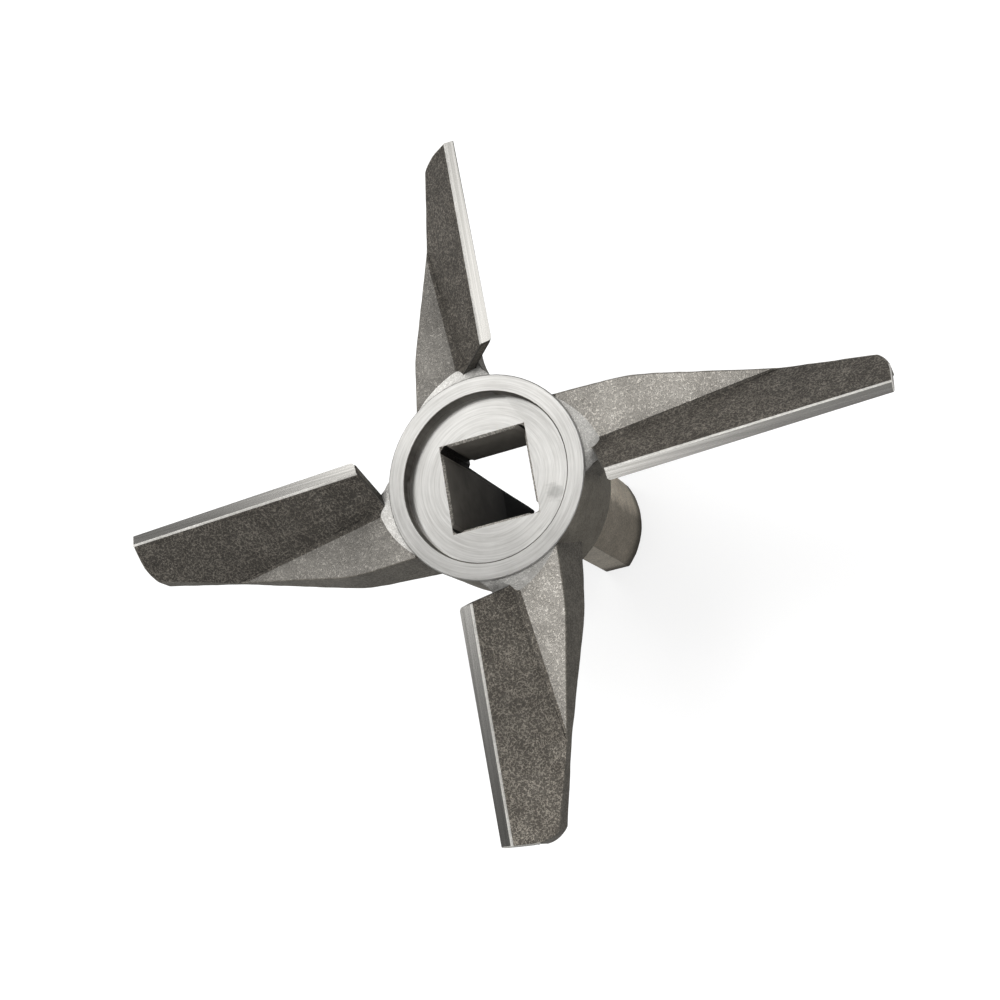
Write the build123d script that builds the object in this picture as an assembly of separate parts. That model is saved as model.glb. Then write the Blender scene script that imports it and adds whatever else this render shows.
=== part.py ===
from build123d import *
import math
import os

# Four-armed meat grinder knife, one casting. Millimetres, +Z is the cutting side.
# The origin sits on the turning axis, in the plane of the rear end of the hub sleeve.
# X runs along the two long arms, Y along the two short arms.

# hub and square drive
square_side = 30.0
square_lip = 0.9
lip_angle = 45.0
relief_dia = 4.6
relief_inset = 1.5
hub_length = 96.0
ring_dia = 70.8
ring_edge = 0.4
recess_dia = 58.6
recess_depth = 4.3
collar_length = 29.4

# rear sleeve
sleeve_dia = 53.8
sleeve_top_drop = 0.6
sleeve_top_draft = 2.0
sleeve_flat = 19.5
sleeve_slot = 18.0
rear_bore_dia = 39.6
rear_bore_depth = 36.6
top_wall_bevel = 4.2

# arms in plan, at the height of the cutting strips
long_reach = 135.4
short_reach = 121.0
long_edge = (15.2, 12.1)
short_edge = (13.4, 12.3)
blade_start = 43.6
blade_end_slant = 14.0
strip_width_root = 4.3
strip_width_tip = 3.8
trail_tip = 1.8
trail_mid = 8.3
trail_root = 19.6
trail_mid_share = 0.74
trail_root_share = 0.40
trail_fillet = 16.0
long_flare = 0.5
short_flare = 5.0
root_bend = 60.0
tip_corner = 10.0
strip_corner = 1.6

# arms in section
strip_rise = 6.9
face_slope = 38.5
rake_slope = 41.0
side_draft = 11.0
web_side = 3.2
web_side_lean = 6.0
lead_fillet = 22.0
hub_inset = 3.0
facet_drop = 2.8
facet_fall = 6.0
facet_lean = 3.8
cone_slope = 23.0
cone_width = 10.0
cone_top_drop = 0.8
back_drop = 17.0
tip_back_drop = 7.9
back_spare = 3.4
overlap = 1.0


def tan(angle):
    return math.tan(math.radians(angle))


# sizes that follow from the ones above; back_spare is stock that the back plane cuts away
half_square = square_side / 2
ring_r = ring_dia / 2
recess_r = recess_dia / 2
sleeve_r = sleeve_dia / 2
ring_z = hub_length
floor_z = ring_z - recess_depth
strip_z = ring_z + strip_rise
collar_z = ring_z - collar_length
relief_at = half_square - relief_inset
web_depth = back_drop + back_spare
arm_depth = strip_rise + web_depth
draft_growth = arm_depth * tan(side_draft)
tip_growth = (strip_rise + tip_back_drop) * tan(side_draft)
web_hub_r = ring_r - hub_inset - draft_growth
lead_hub_r = ring_r - hub_inset
room = 4 * long_reach


def beyond(point, normal):
    """Everything on the side of the plane through point that normal points to."""
    side = Plane(origin=point, z_dir=normal)
    return side * Box(room, room, room, align=(Align.CENTER, Align.CENTER, Align.MIN))


def left_of(start, end, height, lean):
    """Everything left of the plan line start-end, the wall leaning by lean degrees."""
    run_x = end[0] - start[0]
    run_y = end[1] - start[1]
    length = math.hypot(run_x, run_y)
    return beyond((*start, height), (-run_y / length, run_x / length, tan(lean)))


def above(start, end, height, slope):
    """Everything above a face that falls by slope degrees to the left of start-end."""
    run_x = end[0] - start[0]
    run_y = end[1] - start[1]
    length = math.hypot(run_x, run_y)
    fall = tan(slope)
    return beyond((*start, height), (-run_y / length * fall, run_x / length * fall, 1))


def drafted(plan):
    """Prism below a plan drawn at strip height, its sides leaning out by the draft."""
    return Pos(0, 0, strip_z) * extrude(plan, -arm_depth, taper=-side_draft)


def arm(reach, edge, flare):
    """One arm along +X: blade with its cutting strip, root web, cone beside the ring."""
    plan_scale = reach / long_reach
    mid = (trail_mid_share * reach, trail_mid * plan_scale)
    root = (trail_root_share * reach, trail_root * plan_scale)
    tip = (reach, trail_tip * plan_scale)
    edge_root = (blade_start, -edge[0])
    edge_tip = (reach, -edge[1])
    strip_root = (blade_start, strip_width_root - edge[0])
    strip_tip = (reach, strip_width_tip - edge[1])
    end_y = 2 * trail_root
    end_x = blade_start - (end_y + edge[0]) * tan(blade_end_slant)

    # blade in plan at strip height
    past_tip = (reach + tip_corner, tip[1] - (mid[1] - tip[1]) * tip_corner / (reach - mid[0]))
    blade_plan = Polygon(
        edge_root,
        (past_tip[0], -edge[1]),
        past_tip,
        mid,
        root,
        (end_x, end_y),
        align=None,
    )
    blade_plan = blade_plan & Circle(reach)
    edge_vertex = blade_plan.vertices().sort_by_distance((*edge_root, 0))[0]
    blade_plan = fillet(edge_vertex, strip_corner)

    # the tip's own outline: upright walls, the trailing corner rounded
    tip_plan = Polygon(
        (0, -reach),
        (past_tip[0], -reach),
        (past_tip[0], past_tip[1] + tip_growth),
        (mid[0], mid[1] + draft_growth),
        (0, reach),
        align=None,
    )
    tip_plan = tip_plan & Circle(reach)
    tip_vertex = tip_plan.vertices().sort_by_distance((reach, tip[1] + tip_growth, 0))[0]
    tip_plan = fillet(tip_vertex, tip_corner)
    blade = drafted(blade_plan) & extrude(tip_plan, room / 2)

    # sloping main face, then the rake under the cutting edge
    blade = blade - above(strip_root, strip_tip, strip_z, face_slope)
    rake = left_of(edge_tip, edge_root, strip_z, rake_slope - 90)
    heel = left_of((reach, -web_side), (0, -web_side), ring_z, -web_side_lean)
    blade = blade - (rake & heel)

    # root web: a drafted trailing half, and a leading half that leans back under the blade
    trail_hub = (0, root[1] + root[0] * tan(flare))
    trail_plan = Polygon((0, draft_growth), (mid[0], draft_growth), mid, root, trail_hub, align=None)
    bend = trail_plan.vertices().sort_by_distance((*root, 0))[0]
    trail_plan = fillet(bend, root_bend)
    trail_plan = trail_plan + Circle(web_hub_r)
    corner = trail_plan.vertices().sort_by_distance((web_hub_r, trail_hub[1], 0))[0]
    trail_plan = fillet(corner, trail_fillet)
    lead_plan = Polygon(
        (0, -web_side),
        (mid[0], -web_side),
        (mid[0], draft_growth),
        (0, draft_growth),
        align=None,
    )
    lead_plan = lead_plan + Circle(lead_hub_r)
    corner = lead_plan.vertices().sort_by_distance((lead_hub_r, -web_side, 0))[0]
    lead_plan = fillet(corner, lead_fillet)
    web = drafted(trail_plan)
    web = web + Pos(0, 0, ring_z) * extrude(lead_plan, web_depth, dir=(0, tan(web_side_lean), -1))

    # top of the web: a shallow facet, and a cone that stands up to the ring
    web = web - beyond((0, 0, ring_z - cone_top_drop), (0, 0, 1))
    facet = beyond((ring_r, 0, ring_z - facet_drop), (tan(facet_fall), -tan(facet_lean), 1))
    cone_height = cone_width * tan(cone_slope)
    cone_z = ring_z - cone_top_drop - cone_height / 2
    cone = Pos(0, 0, cone_z) * Cone(ring_r + cone_width, ring_r, cone_height)
    solid = blade + (web - facet) + (web & cone)

    # back, rising towards the tip
    back_rise = (back_drop - tip_back_drop) / (reach - ring_r)
    back = beyond((ring_r, 0, ring_z - back_drop), (back_rise, 0, -1))
    return solid - back


# hub: front collar and the longer rear sleeve
collar = Pos(0, 0, ring_z - collar_length / 2) * Cylinder(ring_r, collar_length)
collar = chamfer(collar.edges().group_by(Axis.Z)[-1], ring_edge)
sleeve = Pos(0, 0, collar_z / 2) * Cylinder(sleeve_r, collar_z)
sleeve = sleeve - beyond((0, half_square - sleeve_top_drop, collar_z), (0, 1, -tan(sleeve_top_draft)))
sleeve = sleeve - beyond((0, -sleeve_flat, 0), (0, -1, 0))
slot = Box(sleeve_slot, sleeve_r, collar_z, align=(Align.CENTER, Align.MAX, Align.MIN))
sleeve = sleeve - slot

# four arms: a long pair and a short pair
knife = collar + sleeve
for turn in (0, 180):
    knife = knife + Rot(0, 0, turn) * arm(long_reach, long_edge, long_flare)
    knife = knife + Rot(0, 0, turn + 90) * arm(short_reach, short_edge, short_flare)

# square drive with relieved corners, bevelled lip and front recess
drive = Rectangle(square_side, square_side)
for corner_x in (-relief_at, relief_at):
    for corner_y in (-relief_at, relief_at):
        drive = drive + Pos(corner_x, corner_y) * Circle(relief_dia / 2)
knife = knife - extrude(drive, hub_length)
lip = extrude(Rectangle(square_side, square_side), square_lip, taper=-lip_angle)
knife = knife - Pos(0, 0, floor_z - square_lip) * lip
recess = Pos(0, 0, floor_z) * extrude(Circle(recess_r), recess_depth + overlap)
knife = knife - recess

# rear counterbore, and the bevel where the top wall of the drive ends
knife = knife - extrude(Circle(rear_bore_dia / 2), rear_bore_depth)
bevel = Polygon(
    (half_square - overlap, collar_z - overlap),
    (half_square + top_wall_bevel + overlap, collar_z - overlap),
    (half_square - overlap, collar_z + top_wall_bevel + overlap),
    align=None,
)
bevel = Plane.YZ * Pos(0, 0, -half_square) * extrude(bevel, square_side)
knife = knife - bevel

os.makedirs("parts", exist_ok=True)
export_step(knife, "parts/knife.step")
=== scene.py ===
import math

import bmesh
import bpy
from mathutils import Matrix, Vector, noise


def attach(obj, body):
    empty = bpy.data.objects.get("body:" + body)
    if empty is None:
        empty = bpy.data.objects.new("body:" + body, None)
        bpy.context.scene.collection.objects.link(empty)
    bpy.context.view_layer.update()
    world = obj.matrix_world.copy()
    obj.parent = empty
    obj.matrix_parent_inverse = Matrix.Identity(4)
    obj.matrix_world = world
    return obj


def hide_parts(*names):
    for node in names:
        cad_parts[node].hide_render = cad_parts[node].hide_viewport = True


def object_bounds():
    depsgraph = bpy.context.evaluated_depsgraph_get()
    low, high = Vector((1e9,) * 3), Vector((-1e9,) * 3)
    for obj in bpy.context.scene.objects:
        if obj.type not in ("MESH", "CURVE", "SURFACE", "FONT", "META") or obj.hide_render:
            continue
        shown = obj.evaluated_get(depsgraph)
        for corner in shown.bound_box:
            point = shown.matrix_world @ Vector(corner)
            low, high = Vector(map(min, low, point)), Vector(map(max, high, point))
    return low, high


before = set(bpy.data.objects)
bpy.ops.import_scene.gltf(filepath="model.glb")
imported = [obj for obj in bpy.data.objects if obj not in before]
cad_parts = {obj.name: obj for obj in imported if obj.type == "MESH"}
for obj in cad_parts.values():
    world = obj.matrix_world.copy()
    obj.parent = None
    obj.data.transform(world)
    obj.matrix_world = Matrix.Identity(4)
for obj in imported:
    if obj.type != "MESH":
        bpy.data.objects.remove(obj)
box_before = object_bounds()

MM = 0.001

# sizes repeated from the part, in millimetres
RING_Z = 96.0
STRIP_Z = 102.9
FLOOR_Z = 91.7
RING_R = 35.4
RECESS_R = 29.3
COLLAR_Z = 66.6

# limits that sort the faces, in millimetres: each lies a little past the size that it sorts by
CHAMFER_LIMIT = 1.0
BORE_LIMIT = 23.0
RELIEF_LIMIT = 13.4
LIP_LIMIT = 1.0
CONE_LIMIT = 46.0
CONE_DEPTH_LIMIT = 6.0

# how near a face or an edge lies to a plane or a rim that it belongs to, in millimetres
NEAR = 0.15
RIM_NEAR = 1.0
UNDER_FLOOR = 2.0

# how far a face looks up, towards the underside or the cutting side, as part of its normal
LEVEL_FROM = 0.999
FLAT_FROM = 0.99
WEB_FROM = 0.97
CONE_FROM = 0.8
MAIN_FACE_FROM = 0.6
LEADING_FROM = 0.1

# shape of the casting's surface
WELD = 0.005 * MM
COPLANAR = math.radians(1)
EDGE_ROUND = 0.45 * MM
WORN_ANGLE = math.radians(22)
SHORTEST_WORN = 1.0 * MM
VALLEY_ROUND = 1.4 * MM
VALLEY_ANGLE = math.radians(12)
SHORTEST_VALLEY = 6.0 * MM
EDGE_STEPS = 2
VALLEY_STEPS = 3
FACE_GRID = 2.2 * MM
REFINE_STEPS = 7
CAST_WAVE = 0.14 * MM
WAVE_SIZE = 6.0 * MM
SHARP_ANGLE = math.radians(50)

# looks
BLACK, WHITE = (0.0, 0.0, 0.0), (1.0, 1.0, 1.0)
# the corner values set the painted shade in inside corners
CORNER_REACH = 9.0 * MM
CORNER_DARK, CORNER_OPEN = 0.72, 0.98
CORNER_SAMPLES = 8
RAGGED = 4.0 * MM
RAGGED_SCALE = 220.0
MOTTLE_SCALE, BROAD_SCALE = 160.0, 24.0
FINE_SCALE, SWIRL_SCALE = 1300.0, 800.0
CREST_START, CREST_TOP, CREST_END = 0.43, 0.5, 0.56
ALONG, ACROSS = 14.0, 1500.0
RING_ALONG, RING_ACROSS = 40.0, 1300.0
TOOL_MARK = 0.03 * MM

# directions and places for the tints of painted light and shade, and for the stain
TOP, BOTTOM, LEFT, RIGHT = (0, 1, 0), (0, -1, 0), (-1, 0, 0), (1, 0, 0)
LOWER_RIGHT = (0.707, -0.707, 0)
# the bore's painted shade runs along BORE_LIGHT, darkest at BORE_DARK_UNTIL and lightest at
# BORE_LIGHT_FROM
BORE_LIGHT = (0, 0.35, 0.94)
BORE_DARK_UNTIL, BORE_LIGHT_FROM = 35 * MM, 92 * MM
ROOT_REACH = 28 * MM
STRIP_START = 35 * MM
STRIP_END = 100 * MM
STAIN_AT = Vector((22.2, -10.6, FLOOR_Z)) * MM
STAIN_R = 4.5 * MM
STAIN_STREAKS = (300.0, 700.0, 300.0)
STAIN_START, STAIN_END = 0.7, 1.3

# camera, at the viewing angle of the photograph
CAMERA_AT = Vector((152.9, -141.9, 519.0)) * MM
CAMERA_RIGHT = Vector((0.914, -0.162, -0.372))
CAMERA_UP = Vector((0.252, 0.945, 0.207))
CAMERA_BACK = Vector((0.318, -0.283, 0.905))
LENS = 50.83
SENSOR = 36.0

# studio: sizes and places in metres, power in watts
FLOOR_SIZE = 12.0
FLOOR_GREY = 0.32
FLOOR_GLOW = 0.78
WORLD_SHOWN, WORLD_LIT, WORLD_MIRRORED = 1.0, 0.5, 0.32
KEY_AT, KEY_SIZE, KEY_POWER = (-0.60, 0.75, 1.6), 1.2, 29.0
SOFTBOX_AT, SOFTBOX_SIZE, SOFTBOX_POWER = (-0.36, 0.54, 1.2), 0.5, 1.35
OVERHEAD_AT, OVERHEAD_SIZE, OVERHEAD_POWER = (0.08, -0.12, 1.4), 0.45, 1.0
LAMP_TARGET = (0, 0, 0.09)


def material(name, metallic, roughness):
    """A new node material and its shader node."""
    mat = bpy.data.materials.new(name)
    mat.use_nodes = True
    shader = mat.node_tree.nodes["Principled BSDF"]
    shader.inputs["Metallic"].default_value = metallic
    shader.inputs["Roughness"].default_value = roughness
    return mat, mat.node_tree, shader


def noise_node(tree, scale, detail, rough, coord):
    node = tree.nodes.new("ShaderNodeTexNoise")
    node.inputs["Scale"].default_value = scale
    node.inputs["Detail"].default_value = detail
    node.inputs["Roughness"].default_value = rough
    tree.links.new(coord, node.inputs["Vector"])
    return node.outputs["Fac"]


def ramp_node(tree, fac, stops):
    node = tree.nodes.new("ShaderNodeValToRGB")
    node.color_ramp.elements[0].position = stops[0][0]
    node.color_ramp.elements[0].color = (*stops[0][1], 1)
    node.color_ramp.elements[1].position = stops[-1][0]
    node.color_ramp.elements[1].color = (*stops[-1][1], 1)
    for position, color in stops[1:-1]:
        node.color_ramp.elements.new(position).color = (*color, 1)
    tree.links.new(fac, node.inputs["Fac"])
    return node.outputs["Color"]


def bump_node(tree, height, strength, distance, normal=None):
    node = tree.nodes.new("ShaderNodeBump")
    node.inputs["Strength"].default_value = strength
    node.inputs["Distance"].default_value = distance
    tree.links.new(height, node.inputs["Height"])
    if normal is not None:
        tree.links.new(normal, node.inputs["Normal"])
    return node.outputs["Normal"]


def object_coord(tree):
    return tree.nodes.new("ShaderNodeTexCoord").outputs["Object"]


def tinted(tree, color, fac, low, high):
    """Color multiplied by a grey that runs from low to high with fac."""
    grey = ramp_node(tree, fac, ((0.0, (low, low, low)), (1.0, (high, high, high))))
    mix = tree.nodes.new("ShaderNodeMix")
    mix.data_type = "RGBA"
    mix.blend_type = "MULTIPLY"
    mix.clamp_result = False
    mix.inputs["Factor"].default_value = 1.0
    tree.links.new(color, mix.inputs["A"])
    tree.links.new(grey, mix.inputs["B"])
    return mix.outputs["Result"]


def painted_corner_shade(tree):
    """Runs from 0 in inside corners, where it paints shade, to 1 on open faces."""
    hidden = tree.nodes.new("ShaderNodeAmbientOcclusion")
    hidden.samples = CORNER_SAMPLES
    hidden.inputs["Distance"].default_value = CORNER_REACH
    return ramp_node(tree, hidden.outputs["AO"], ((CORNER_DARK, BLACK), (CORNER_OPEN, WHITE)))


def painted_shading_ramp(tree, direction, start, end):
    """Runs from 0 to 1 between two distances along a direction, with a ragged border, to set painted
    light and shade.
    """
    along = tree.nodes.new("ShaderNodeVectorMath")
    along.operation = "DOT_PRODUCT"
    along.inputs[1].default_value = direction
    tree.links.new(object_coord(tree), along.inputs[0])
    ragged = noise_node(tree, RAGGED_SCALE, 5.0, 0.7, object_coord(tree))
    shift = tree.nodes.new("ShaderNodeMapRange")
    shift.inputs["To Min"].default_value = -RAGGED
    shift.inputs["To Max"].default_value = RAGGED
    tree.links.new(ragged, shift.inputs["Value"])
    moved = tree.nodes.new("ShaderNodeMath")
    moved.operation = "ADD"
    tree.links.new(along.outputs["Value"], moved.inputs[0])
    tree.links.new(shift.outputs["Result"], moved.inputs[1])
    across = tree.nodes.new("ShaderNodeMapRange")
    across.inputs["From Min"].default_value = start
    across.inputs["From Max"].default_value = end
    tree.links.new(moved.outputs[0], across.inputs["Value"])
    return across.outputs["Result"]


def cast_material(
    name, dark, light, speck=0.5, metallic=0.4, roughness=0.5, grain_depth=0.22, side=None
):
    """As-cast steel: short raised crests, mottling, broad uneven tone, painted shade in inside corners
    and, when a side is given, painted light and shade along it.
    """
    mat, tree, shader = material(name, metallic, roughness)
    coord = object_coord(tree)
    mottle = noise_node(tree, MOTTLE_SCALE, 5.0, 0.65, coord)
    tone = ramp_node(tree, mottle, ((0.3, dark), (0.7, light)))
    broad = noise_node(tree, BROAD_SCALE, 2.0, 0.5, coord)
    tone = tinted(tree, tone, broad, 0.62, 1.38)
    fine = noise_node(tree, FINE_SCALE, 2.0, 0.6, coord)
    tone = tinted(tree, tone, fine, 1.0 - speck, 1.0 + speck)
    swirl = noise_node(tree, SWIRL_SCALE, 2.0, 0.6, coord)
    crests = ramp_node(tree, swirl, ((CREST_START, BLACK), (CREST_TOP, WHITE), (CREST_END, BLACK)))
    tone = tinted(tree, tone, crests, 1.0 - 0.8 * speck, 1.0 + 2.6 * speck)
    # painted shade in the inside corners
    tone = tinted(tree, tone, painted_corner_shade(tree), 0.35, 1.0)
    # painted light and shade along a direction, when a side is given
    if side is not None:
        tone = tinted(tree, tone, painted_shading_ramp(tree, *side[:3]), *side[3:])
    tree.links.new(tone, shader.inputs["Base Color"])
    normal = bump_node(tree, crests, 1.0, grain_depth * MM)
    normal = bump_node(tree, fine, 1.0, grain_depth * MM, normal)
    tree.links.new(normal, shader.inputs["Normal"])
    return mat


def stretched(tree, scale):
    """Object coordinates squeezed by scale, so a noise runs in long lines."""
    mapping = tree.nodes.new("ShaderNodeMapping")
    mapping.inputs["Scale"].default_value = scale
    tree.links.new(object_coord(tree), mapping.inputs["Vector"])
    return mapping.outputs["Vector"]


def bore_material(name, dark, light):
    """Smooth cast walls of the square drive, with painted shade that darkens them with depth."""
    mat, tree, shader = material(name, 0.2, 0.6)
    shader.inputs["Specular IOR Level"].default_value = 0.1
    # painted shade, darker with depth down to near black
    depth = painted_shading_ramp(tree, BORE_LIGHT, BORE_DARK_UNTIL, BORE_LIGHT_FROM)
    tone = ramp_node(tree, depth, ((0.0, dark), (1.0, light)))
    mottle = noise_node(tree, 130.0, 4.0, 0.6, object_coord(tree))
    tone = tinted(tree, tone, mottle, 0.55, 1.45)
    tree.links.new(tone, shader.inputs["Base Color"])
    return mat


def stain_shade(tree):
    """Runs from 0 in the one grey rub mark on the recess floor to 1 outside it."""
    apart = tree.nodes.new("ShaderNodeVectorMath")
    apart.operation = "DISTANCE"
    apart.inputs[1].default_value = STAIN_AT
    tree.links.new(object_coord(tree), apart.inputs[0])
    reach = tree.nodes.new("ShaderNodeMapRange")
    reach.inputs["From Max"].default_value = STAIN_R
    tree.links.new(apart.outputs["Value"], reach.inputs["Value"])
    streaks = noise_node(tree, 1.0, 3.0, 0.6, stretched(tree, STAIN_STREAKS))
    total = tree.nodes.new("ShaderNodeMath")
    total.operation = "ADD"
    tree.links.new(reach.outputs["Result"], total.inputs[0])
    tree.links.new(streaks, total.inputs[1])
    border = tree.nodes.new("ShaderNodeMapRange")
    border.inputs["From Min"].default_value = STAIN_START
    border.inputs["From Max"].default_value = STAIN_END
    tree.links.new(total.outputs[0], border.inputs["Value"])
    return border.outputs["Result"]


def turned_material(name, dark, light, roughness=0.3):
    """Faced and bored steel: fine rings round the turning axis."""
    mat, tree, shader = material(name, 1.0, roughness)
    coord = object_coord(tree)
    rings = noise_node(tree, 1.0, 4.0, 0.75, ring_coord(tree))
    tone = ramp_node(tree, rings, ((0.34, dark), (0.62, light)))
    smudge = noise_node(tree, 60.0, 3.0, 0.6, coord)
    tone = tinted(tree, tone, smudge, 0.80, 1.16)
    tone = tinted(tree, tone, stain_shade(tree), 0.66, 1.0)
    tree.links.new(tone, shader.inputs["Base Color"])
    normal = bump_node(tree, rings, 0.5, TOOL_MARK)
    tree.links.new(normal, shader.inputs["Normal"])
    tangent = tree.nodes.new("ShaderNodeTangent")
    tangent.direction_type = "RADIAL"
    tangent.axis = "Z"
    tree.links.new(tangent.outputs["Tangent"], shader.inputs["Tangent"])
    shader.inputs["Anisotropic"].default_value = 0.5
    return mat


def ring_coord(tree):
    """Coordinates that change fast with the radius and slowly round the axis."""
    split = tree.nodes.new("ShaderNodeSeparateXYZ")
    tree.links.new(object_coord(tree), split.inputs["Vector"])
    radius = tree.nodes.new("ShaderNodeMath")
    radius.operation = "SQRT"
    total = tree.nodes.new("ShaderNodeMath")
    total.operation = "ADD"
    for index, axis in enumerate("XY"):
        square = tree.nodes.new("ShaderNodeMath")
        square.operation = "MULTIPLY"
        tree.links.new(split.outputs[axis], square.inputs[0])
        tree.links.new(split.outputs[axis], square.inputs[1])
        tree.links.new(square.outputs[0], total.inputs[index])
    tree.links.new(total.outputs[0], radius.inputs[0])
    join = tree.nodes.new("ShaderNodeCombineXYZ")
    for axis in "XY":
        slow = tree.nodes.new("ShaderNodeMath")
        slow.operation = "MULTIPLY"
        slow.inputs[1].default_value = RING_ALONG
        tree.links.new(split.outputs[axis], slow.inputs[0])
        tree.links.new(slow.outputs[0], join.inputs[axis])
    fast = tree.nodes.new("ShaderNodeMath")
    fast.operation = "MULTIPLY"
    fast.inputs[1].default_value = RING_ACROSS
    tree.links.new(radius.outputs[0], fast.inputs[0])
    tree.links.new(fast.outputs[0], join.inputs["Z"])
    return join.outputs["Vector"]


def ground_material(name, scale, side):
    """Surface-ground steel, scratched along the strips, with painted light and shade along them."""
    mat, tree, shader = material(name, 1.0, 0.27)
    lines = noise_node(tree, 1.0, 3.0, 0.6, stretched(tree, scale))
    tone = ramp_node(tree, lines, ((0.3, (0.42, 0.41, 0.385)), (0.7, (0.60, 0.585, 0.555))))
    # painted light and shade along the strip
    tone = tinted(tree, tone, painted_shading_ramp(tree, *side[:3]), *side[3:])
    tree.links.new(tone, shader.inputs["Base Color"])
    normal = bump_node(tree, lines, 0.12, TOOL_MARK)
    tree.links.new(normal, shader.inputs["Normal"])
    return mat


# each side tint holds a direction, a start, an end, and the brightness at both;
# it follows how the photograph is lit, so it isn't a difference in the steel
# cast_face, cast_web, cast_side, cast_cone, cast_hub, cast_flat and cast_collar are copies of one cast
# steel; their base colours are painted light and shade for how each kind of face is turned
MATERIALS = [
    # darkest copy: painted shade on the main faces, with a painted reflection lighter on the lower arm
    cast_material(
        "cast_face",
        (0.092, 0.082, 0.069),
        (0.142, 0.129, 0.110),
        side=(BOTTOM, 15 * MM, 110 * MM, 1.0, 2.5),
    ),
    # painted light on the webs, lighter towards the lower right
    cast_material(
        "cast_web",
        (0.33, 0.31, 0.28),
        (0.47, 0.445, 0.405),
        speck=0.34,
        side=(LOWER_RIGHT, -ROOT_REACH, ROOT_REACH, 0.72, 1.42),
    ),
    # painted light and shade on the side faces, between the main faces and the webs
    cast_material("cast_side", (0.17, 0.156, 0.134), (0.24, 0.221, 0.19), speck=0.2, grain_depth=0.1),
    # lightest copy: painted light on the cones, lighter towards the upper left
    cast_material(
        "cast_cone",
        (0.56, 0.545, 0.515),
        (0.74, 0.725, 0.69),
        speck=0.12,
        grain_depth=0.1,
        side=(LOWER_RIGHT, -ROOT_REACH, ROOT_REACH, 1.42, 0.9),
    ),
    # painted light on the hub, with a painted reflection lighter towards the top
    cast_material(
        "cast_hub",
        (0.36, 0.318, 0.26),
        (0.48, 0.43, 0.355),
        speck=0.12,
        grain_depth=0.08,
        side=(TOP, -4 * MM, 0.5 * MM, 1.05, 2.1),
    ),
    # painted light on the sleeve's flat facet
    cast_material("cast_flat", (0.58, 0.53, 0.45), (0.74, 0.68, 0.58), speck=0.1, grain_depth=0.06),
    # painted shade on the collar
    cast_material("cast_collar", (0.22, 0.20, 0.165), (0.32, 0.292, 0.245), speck=0.12, grain_depth=0.08),
    # painted shade deep in the bore, near black at the bottom
    bore_material("bore_wall", (0.006, 0.0055, 0.005), (0.27, 0.252, 0.225)),
    # painted shade: near black in the deep round corner reliefs
    cast_material("bore_relief_painted_shade", (0.02, 0.018, 0.015), (0.045, 0.04, 0.034), grain_depth=0.05),
    cast_material("bore_lip", (0.42, 0.395, 0.355), (0.66, 0.625, 0.57), speck=0.3, grain_depth=0.05),
    turned_material("turned", (0.52, 0.51, 0.485), (0.70, 0.69, 0.665)),
    # shaded copy of turned: painted shade on the recess wall
    turned_material("turned_wall_painted_shade", (0.12, 0.112, 0.10), (0.34, 0.32, 0.29)),
    # painted light and shade along the ground strips: dimmer towards the tips
    ground_material("ground_b", (ALONG, ACROSS, ACROSS), (RIGHT, STRIP_START, STRIP_END, 1.05, 0.72)),
    ground_material("ground_d", (ALONG, ACROSS, ACROSS), (LEFT, STRIP_START, STRIP_END, 1.45, 0.8)),
    ground_material("ground_y", (ACROSS, ALONG, ACROSS), (BOTTOM, STRIP_START, 115 * MM, 1.0, 0.46)),
    # bright rounded edges: wear and a painted highlight
    cast_material("worn_edge_and_highlight", (0.56, 0.545, 0.51), (0.80, 0.78, 0.74), speck=0.08, grain_depth=0.05),
    # dark rounded edges on the cutting side and towards the hub
    cast_material("dark_edge", (0.07, 0.065, 0.056), (0.13, 0.122, 0.108), speck=0.1, grain_depth=0.05),
]
CAST, WEB, SIDE, CONE, HUB, FLAT, COLLAR, BORE, SHADED_RELIEF, LIP = range(10)
TURNED, SHADED_WALL, GROUND_B, GROUND_D, GROUND_Y, WORN_HIGHLIGHT, DARK_EDGE = range(10, len(MATERIALS))
ROUGH_KINDS = (CAST, WEB, SIDE, HUB, COLLAR)


def kind_of(center, normal):
    """Which material a face of the knife gets, from where it is and which way it looks."""
    x, y, z = center / MM
    r = math.hypot(x, y)
    level = normal.z > LEVEL_FROM
    if level and RING_Z - CHAMFER_LIMIT < z < RING_Z and r > RING_R:
        return CAST
    if level and abs(z - STRIP_Z) < NEAR:
        if abs(x) < abs(y):
            return GROUND_Y
        return GROUND_B if x > 0 else GROUND_D
    if level and r < RING_R and (abs(z - FLOOR_Z) < NEAR or abs(z - RING_Z) < NEAR):
        return TURNED
    if FLOOR_Z < z < RING_Z and r < RING_R - CHAMFER_LIMIT:
        return SHADED_WALL
    if z > RING_Z - CHAMFER_LIMIT and r < RING_R + NEAR:
        return TURNED
    if r < BORE_LIMIT:
        if min(abs(x), abs(y)) > RELIEF_LIMIT:
            return SHADED_RELIEF
        return LIP if z > FLOOR_Z - LIP_LIMIT else BORE
    if r < RING_R + NEAR:
        if z > COLLAR_Z - NEAR:
            return COLLAR
        return FLAT if normal.y < -FLAT_FROM else HUB
    if normal.z > WEB_FROM:
        return WEB
    if normal.z > CONE_FROM and r < CONE_LIMIT and z > RING_Z - CONE_DEPTH_LIMIT:
        return CONE
    return CAST if normal.z > MAIN_FACE_FROM else SIDE


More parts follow.
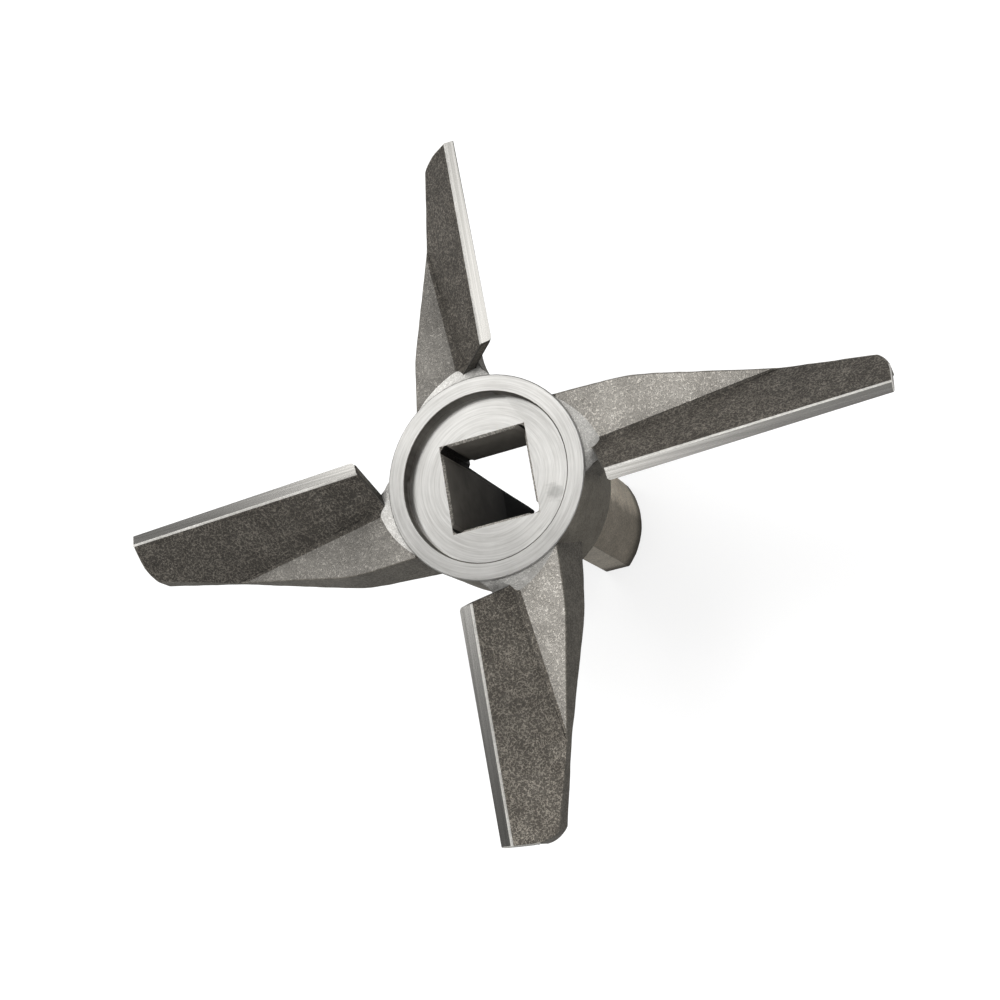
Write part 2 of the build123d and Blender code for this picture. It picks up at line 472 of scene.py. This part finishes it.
def wears(edge):
    """Whether an edge is worn round: convex, outside the bore, and on the ring only its inner rim."""
    if not edge.is_manifold or not edge.is_convex or edge.calc_length() < SHORTEST_WORN:
        return False
    middle = (edge.verts[0].co + edge.verts[1].co) / 2 / MM
    r = math.hypot(middle.x, middle.y)
    recess_rim = abs(r - RECESS_R) < RIM_NEAR and abs(middle.z - RING_Z) < NEAR
    in_ring = r < RING_R + RIM_NEAR and middle.z > FLOOR_Z - UNDER_FLOOR
    return edge.calc_face_angle() > WORN_ANGLE and r > BORE_LIMIT and (recess_rim or not in_ring)


def edge_kind(center, normal):
    """Which material a rounded edge gets: dark on the cutting side and towards the hub, and elsewhere on
    the blades bright wear with a painted highlight.
    """
    x, y, z = center / MM
    r = math.hypot(x, y)
    if z < RING_Z + RIM_NEAR:
        if r > RING_R + RIM_NEAR:
            return SIDE
        return SHADED_WALL if z > FLOOR_Z else HUB
    leading = math.copysign(1, y) * normal.x
    outward = math.copysign(1, y) * normal.y
    if abs(x) > abs(y):
        leading = -math.copysign(1, x) * normal.y
        outward = math.copysign(1, x) * normal.x
    return DARK_EDGE if leading > LEADING_FROM or outward < -LEADING_FROM else WORN_HIGHLIGHT


def is_valley(edge):
    """Whether an edge is a long inside corner between cast faces of an arm."""
    if not edge.is_manifold or edge.is_convex or edge.calc_length() < SHORTEST_VALLEY:
        return False
    kinds = {face.material_index for face in edge.link_faces}
    return edge.calc_face_angle() > VALLEY_ANGLE and kinds <= {CAST, WEB, SIDE}


def refine(bm):
    """Split the cast faces step by step, at every edge longer than the grid."""
    for _ in range(REFINE_STEPS):
        rough = [face for face in bm.faces if face.material_index in ROUGH_KINDS]
        edges = {edge for face in rough for edge in face.edges}
        long_edges = [edge for edge in edges if edge.calc_length() > FACE_GRID]
        bmesh.ops.subdivide_edges(bm, edges=long_edges, cuts=1)
        rough = [face for face in bm.faces if face.material_index in ROUGH_KINDS]
        bmesh.ops.triangulate(bm, faces=[face for face in rough if len(face.verts) > 3])


def weather(bm):
    """Sink the cast faces by an uneven depth, as sand casting leaves them."""
    bm.normal_update()
    for vert in bm.verts:
        if all(face.material_index in ROUGH_KINDS for face in vert.link_faces):
            swell = noise.fractal(vert.co / WAVE_SIZE, 1.0, 2.0, 3)
            sunk = min(max(0.5 + swell, 0.0), 1.0)
            vert.co -= vert.normal * CAST_WAVE * sunk
    bm.normal_update()


def keep_in_box(bm, low, high):
    """Hold the rounded corners within the overall size of the part."""
    for vert in bm.verts:
        held = [min(max(at, start), end) for at, start, end in zip(vert.co, low, high)]
        vert.co = Vector(held)


def round_edges(bm, chosen, reach, steps, kind):
    """Round the edges that chosen picks, with a band of the given reach and material."""
    bmesh.ops.bevel(
        bm,
        geom=[edge for edge in bm.edges if chosen(edge)],
        offset=reach,
        offset_type="OFFSET",
        segments=steps,
        profile=0.5,
        affect="EDGES",
        clamp_overlap=False,
        material=kind,
    )
    bm.normal_update()


def knife_look():
    """The casting with rounded edges in bright wear with a painted highlight, and uneven cast faces, in
    place of the plain CAD node.
    """
    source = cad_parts["knife"]
    mesh = source.data.copy()
    mesh.name = "knife_surface"
    body = bpy.data.objects.new("knife_surface", mesh)
    bpy.context.scene.collection.objects.link(body)
    bm = bmesh.new()
    bm.from_mesh(mesh)
    bmesh.ops.remove_doubles(bm, verts=bm.verts, dist=WELD)
    bmesh.ops.dissolve_limit(bm, angle_limit=COPLANAR, verts=bm.verts, edges=bm.edges)
    bm.normal_update()
    mesh.materials.clear()
    for mat in MATERIALS:
        mesh.materials.append(mat)
    for face in bm.faces:
        face.material_index = kind_of(face.calc_center_median(), face.normal)
    round_edges(bm, is_valley, VALLEY_ROUND, VALLEY_STEPS, CAST)
    # rounded edges first get the material of bright wear and painted highlight
    round_edges(bm, wears, EDGE_ROUND, EDGE_STEPS, WORN_HIGHLIGHT)
    for face in bm.faces:
        if face.material_index == WORN_HIGHLIGHT:
            face.material_index = edge_kind(face.calc_center_median(), face.normal)
    refine(bm)
    weather(bm)
    keep_in_box(bm, *box_before)
    for face in bm.faces:
        face.smooth = True
    bm.to_mesh(mesh)
    bm.free()
    mesh.set_sharp_from_angle(angle=SHARP_ANGLE)
    even = body.modifiers.new("flat_faces", "WEIGHTED_NORMAL")
    even.keep_sharp = True
    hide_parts("knife")
    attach(body, "root")
    return body


def camera():
    data = bpy.data.cameras.new("camera")
    data.lens = LENS
    data.sensor_width = SENSOR
    data.clip_start = 0.01
    data.clip_end = 20.0
    view = bpy.data.objects.new("camera", data)
    bpy.context.scene.collection.objects.link(view)
    turn = Matrix((CAMERA_RIGHT, CAMERA_UP, CAMERA_BACK)).transposed()
    view.matrix_world = Matrix.Translation(CAMERA_AT) @ turn.to_4x4()
    bpy.context.scene.camera = view


def area_lamp(name, at, size, power):
    """A square lamp that looks at the hub."""
    data = bpy.data.lights.new(name, "AREA")
    data.shape = "SQUARE"
    data.size = size
    data.energy = power
    lamp = bpy.data.objects.new(name, data)
    bpy.context.scene.collection.objects.link(lamp)
    lamp.location = at
    lamp.rotation_euler = (Vector(LAMP_TARGET) - Vector(at)).to_track_quat("-Z", "Y").to_euler()
    return lamp


def white_floor():
    """A pale floor that the camera sees as white, with the knife's shadow left on it."""
    bpy.ops.mesh.primitive_plane_add(size=FLOOR_SIZE, location=(0, 0, 0))
    floor = bpy.context.object
    floor.name = "floor"
    mat, tree, shader = material("floor_white", 0.0, 0.9)
    shader.inputs["Base Color"].default_value = (FLOOR_GREY, FLOOR_GREY, FLOOR_GREY, 1)
    shader.inputs["Specular IOR Level"].default_value = 0.0
    shader.inputs["Emission Color"].default_value = (FLOOR_GLOW, FLOOR_GLOW, FLOOR_GLOW, 1)
    path = tree.nodes.new("ShaderNodeLightPath")
    tree.links.new(path.outputs["Is Camera Ray"], shader.inputs["Emission Strength"])
    floor.data.materials.append(mat)


def backdrop(tree, strength):
    node = tree.nodes.new("ShaderNodeBackground")
    node.inputs["Color"].default_value = (1, 1, 1, 1)
    node.inputs["Strength"].default_value = strength
    return node.outputs["Background"]


def white_world():
    """White to the camera, and plainer levels for reflections and for diffuse light."""
    world = bpy.data.worlds.new("world")
    bpy.context.scene.world = world
    world.use_nodes = True
    tree = world.node_tree
    path = tree.nodes.new("ShaderNodeLightPath")
    unseen = tree.nodes.new("ShaderNodeMixShader")
    tree.links.new(path.outputs["Is Glossy Ray"], unseen.inputs["Fac"])
    tree.links.new(backdrop(tree, WORLD_LIT), unseen.inputs[1])
    tree.links.new(backdrop(tree, WORLD_MIRRORED), unseen.inputs[2])
    mix = tree.nodes.new("ShaderNodeMixShader")
    tree.links.new(path.outputs["Is Camera Ray"], mix.inputs["Fac"])
    tree.links.new(unseen.outputs[0], mix.inputs[1])
    tree.links.new(backdrop(tree, WORLD_SHOWN), mix.inputs[2])
    tree.links.new(mix.outputs[0], tree.nodes["World Output"].inputs["Surface"])


def lamps():
    """A large lamp that reflections leave out, and two softboxes that they show."""
    key = area_lamp("key", KEY_AT, KEY_SIZE, KEY_POWER)
    key.visible_glossy = False
    area_lamp("softbox", SOFTBOX_AT, SOFTBOX_SIZE, SOFTBOX_POWER)
    area_lamp("overhead", OVERHEAD_AT, OVERHEAD_SIZE, OVERHEAD_POWER)


knife_look()
camera()
white_floor()
white_world()
lamps()
bpy.context.scene.view_settings.view_transform = "Standard"
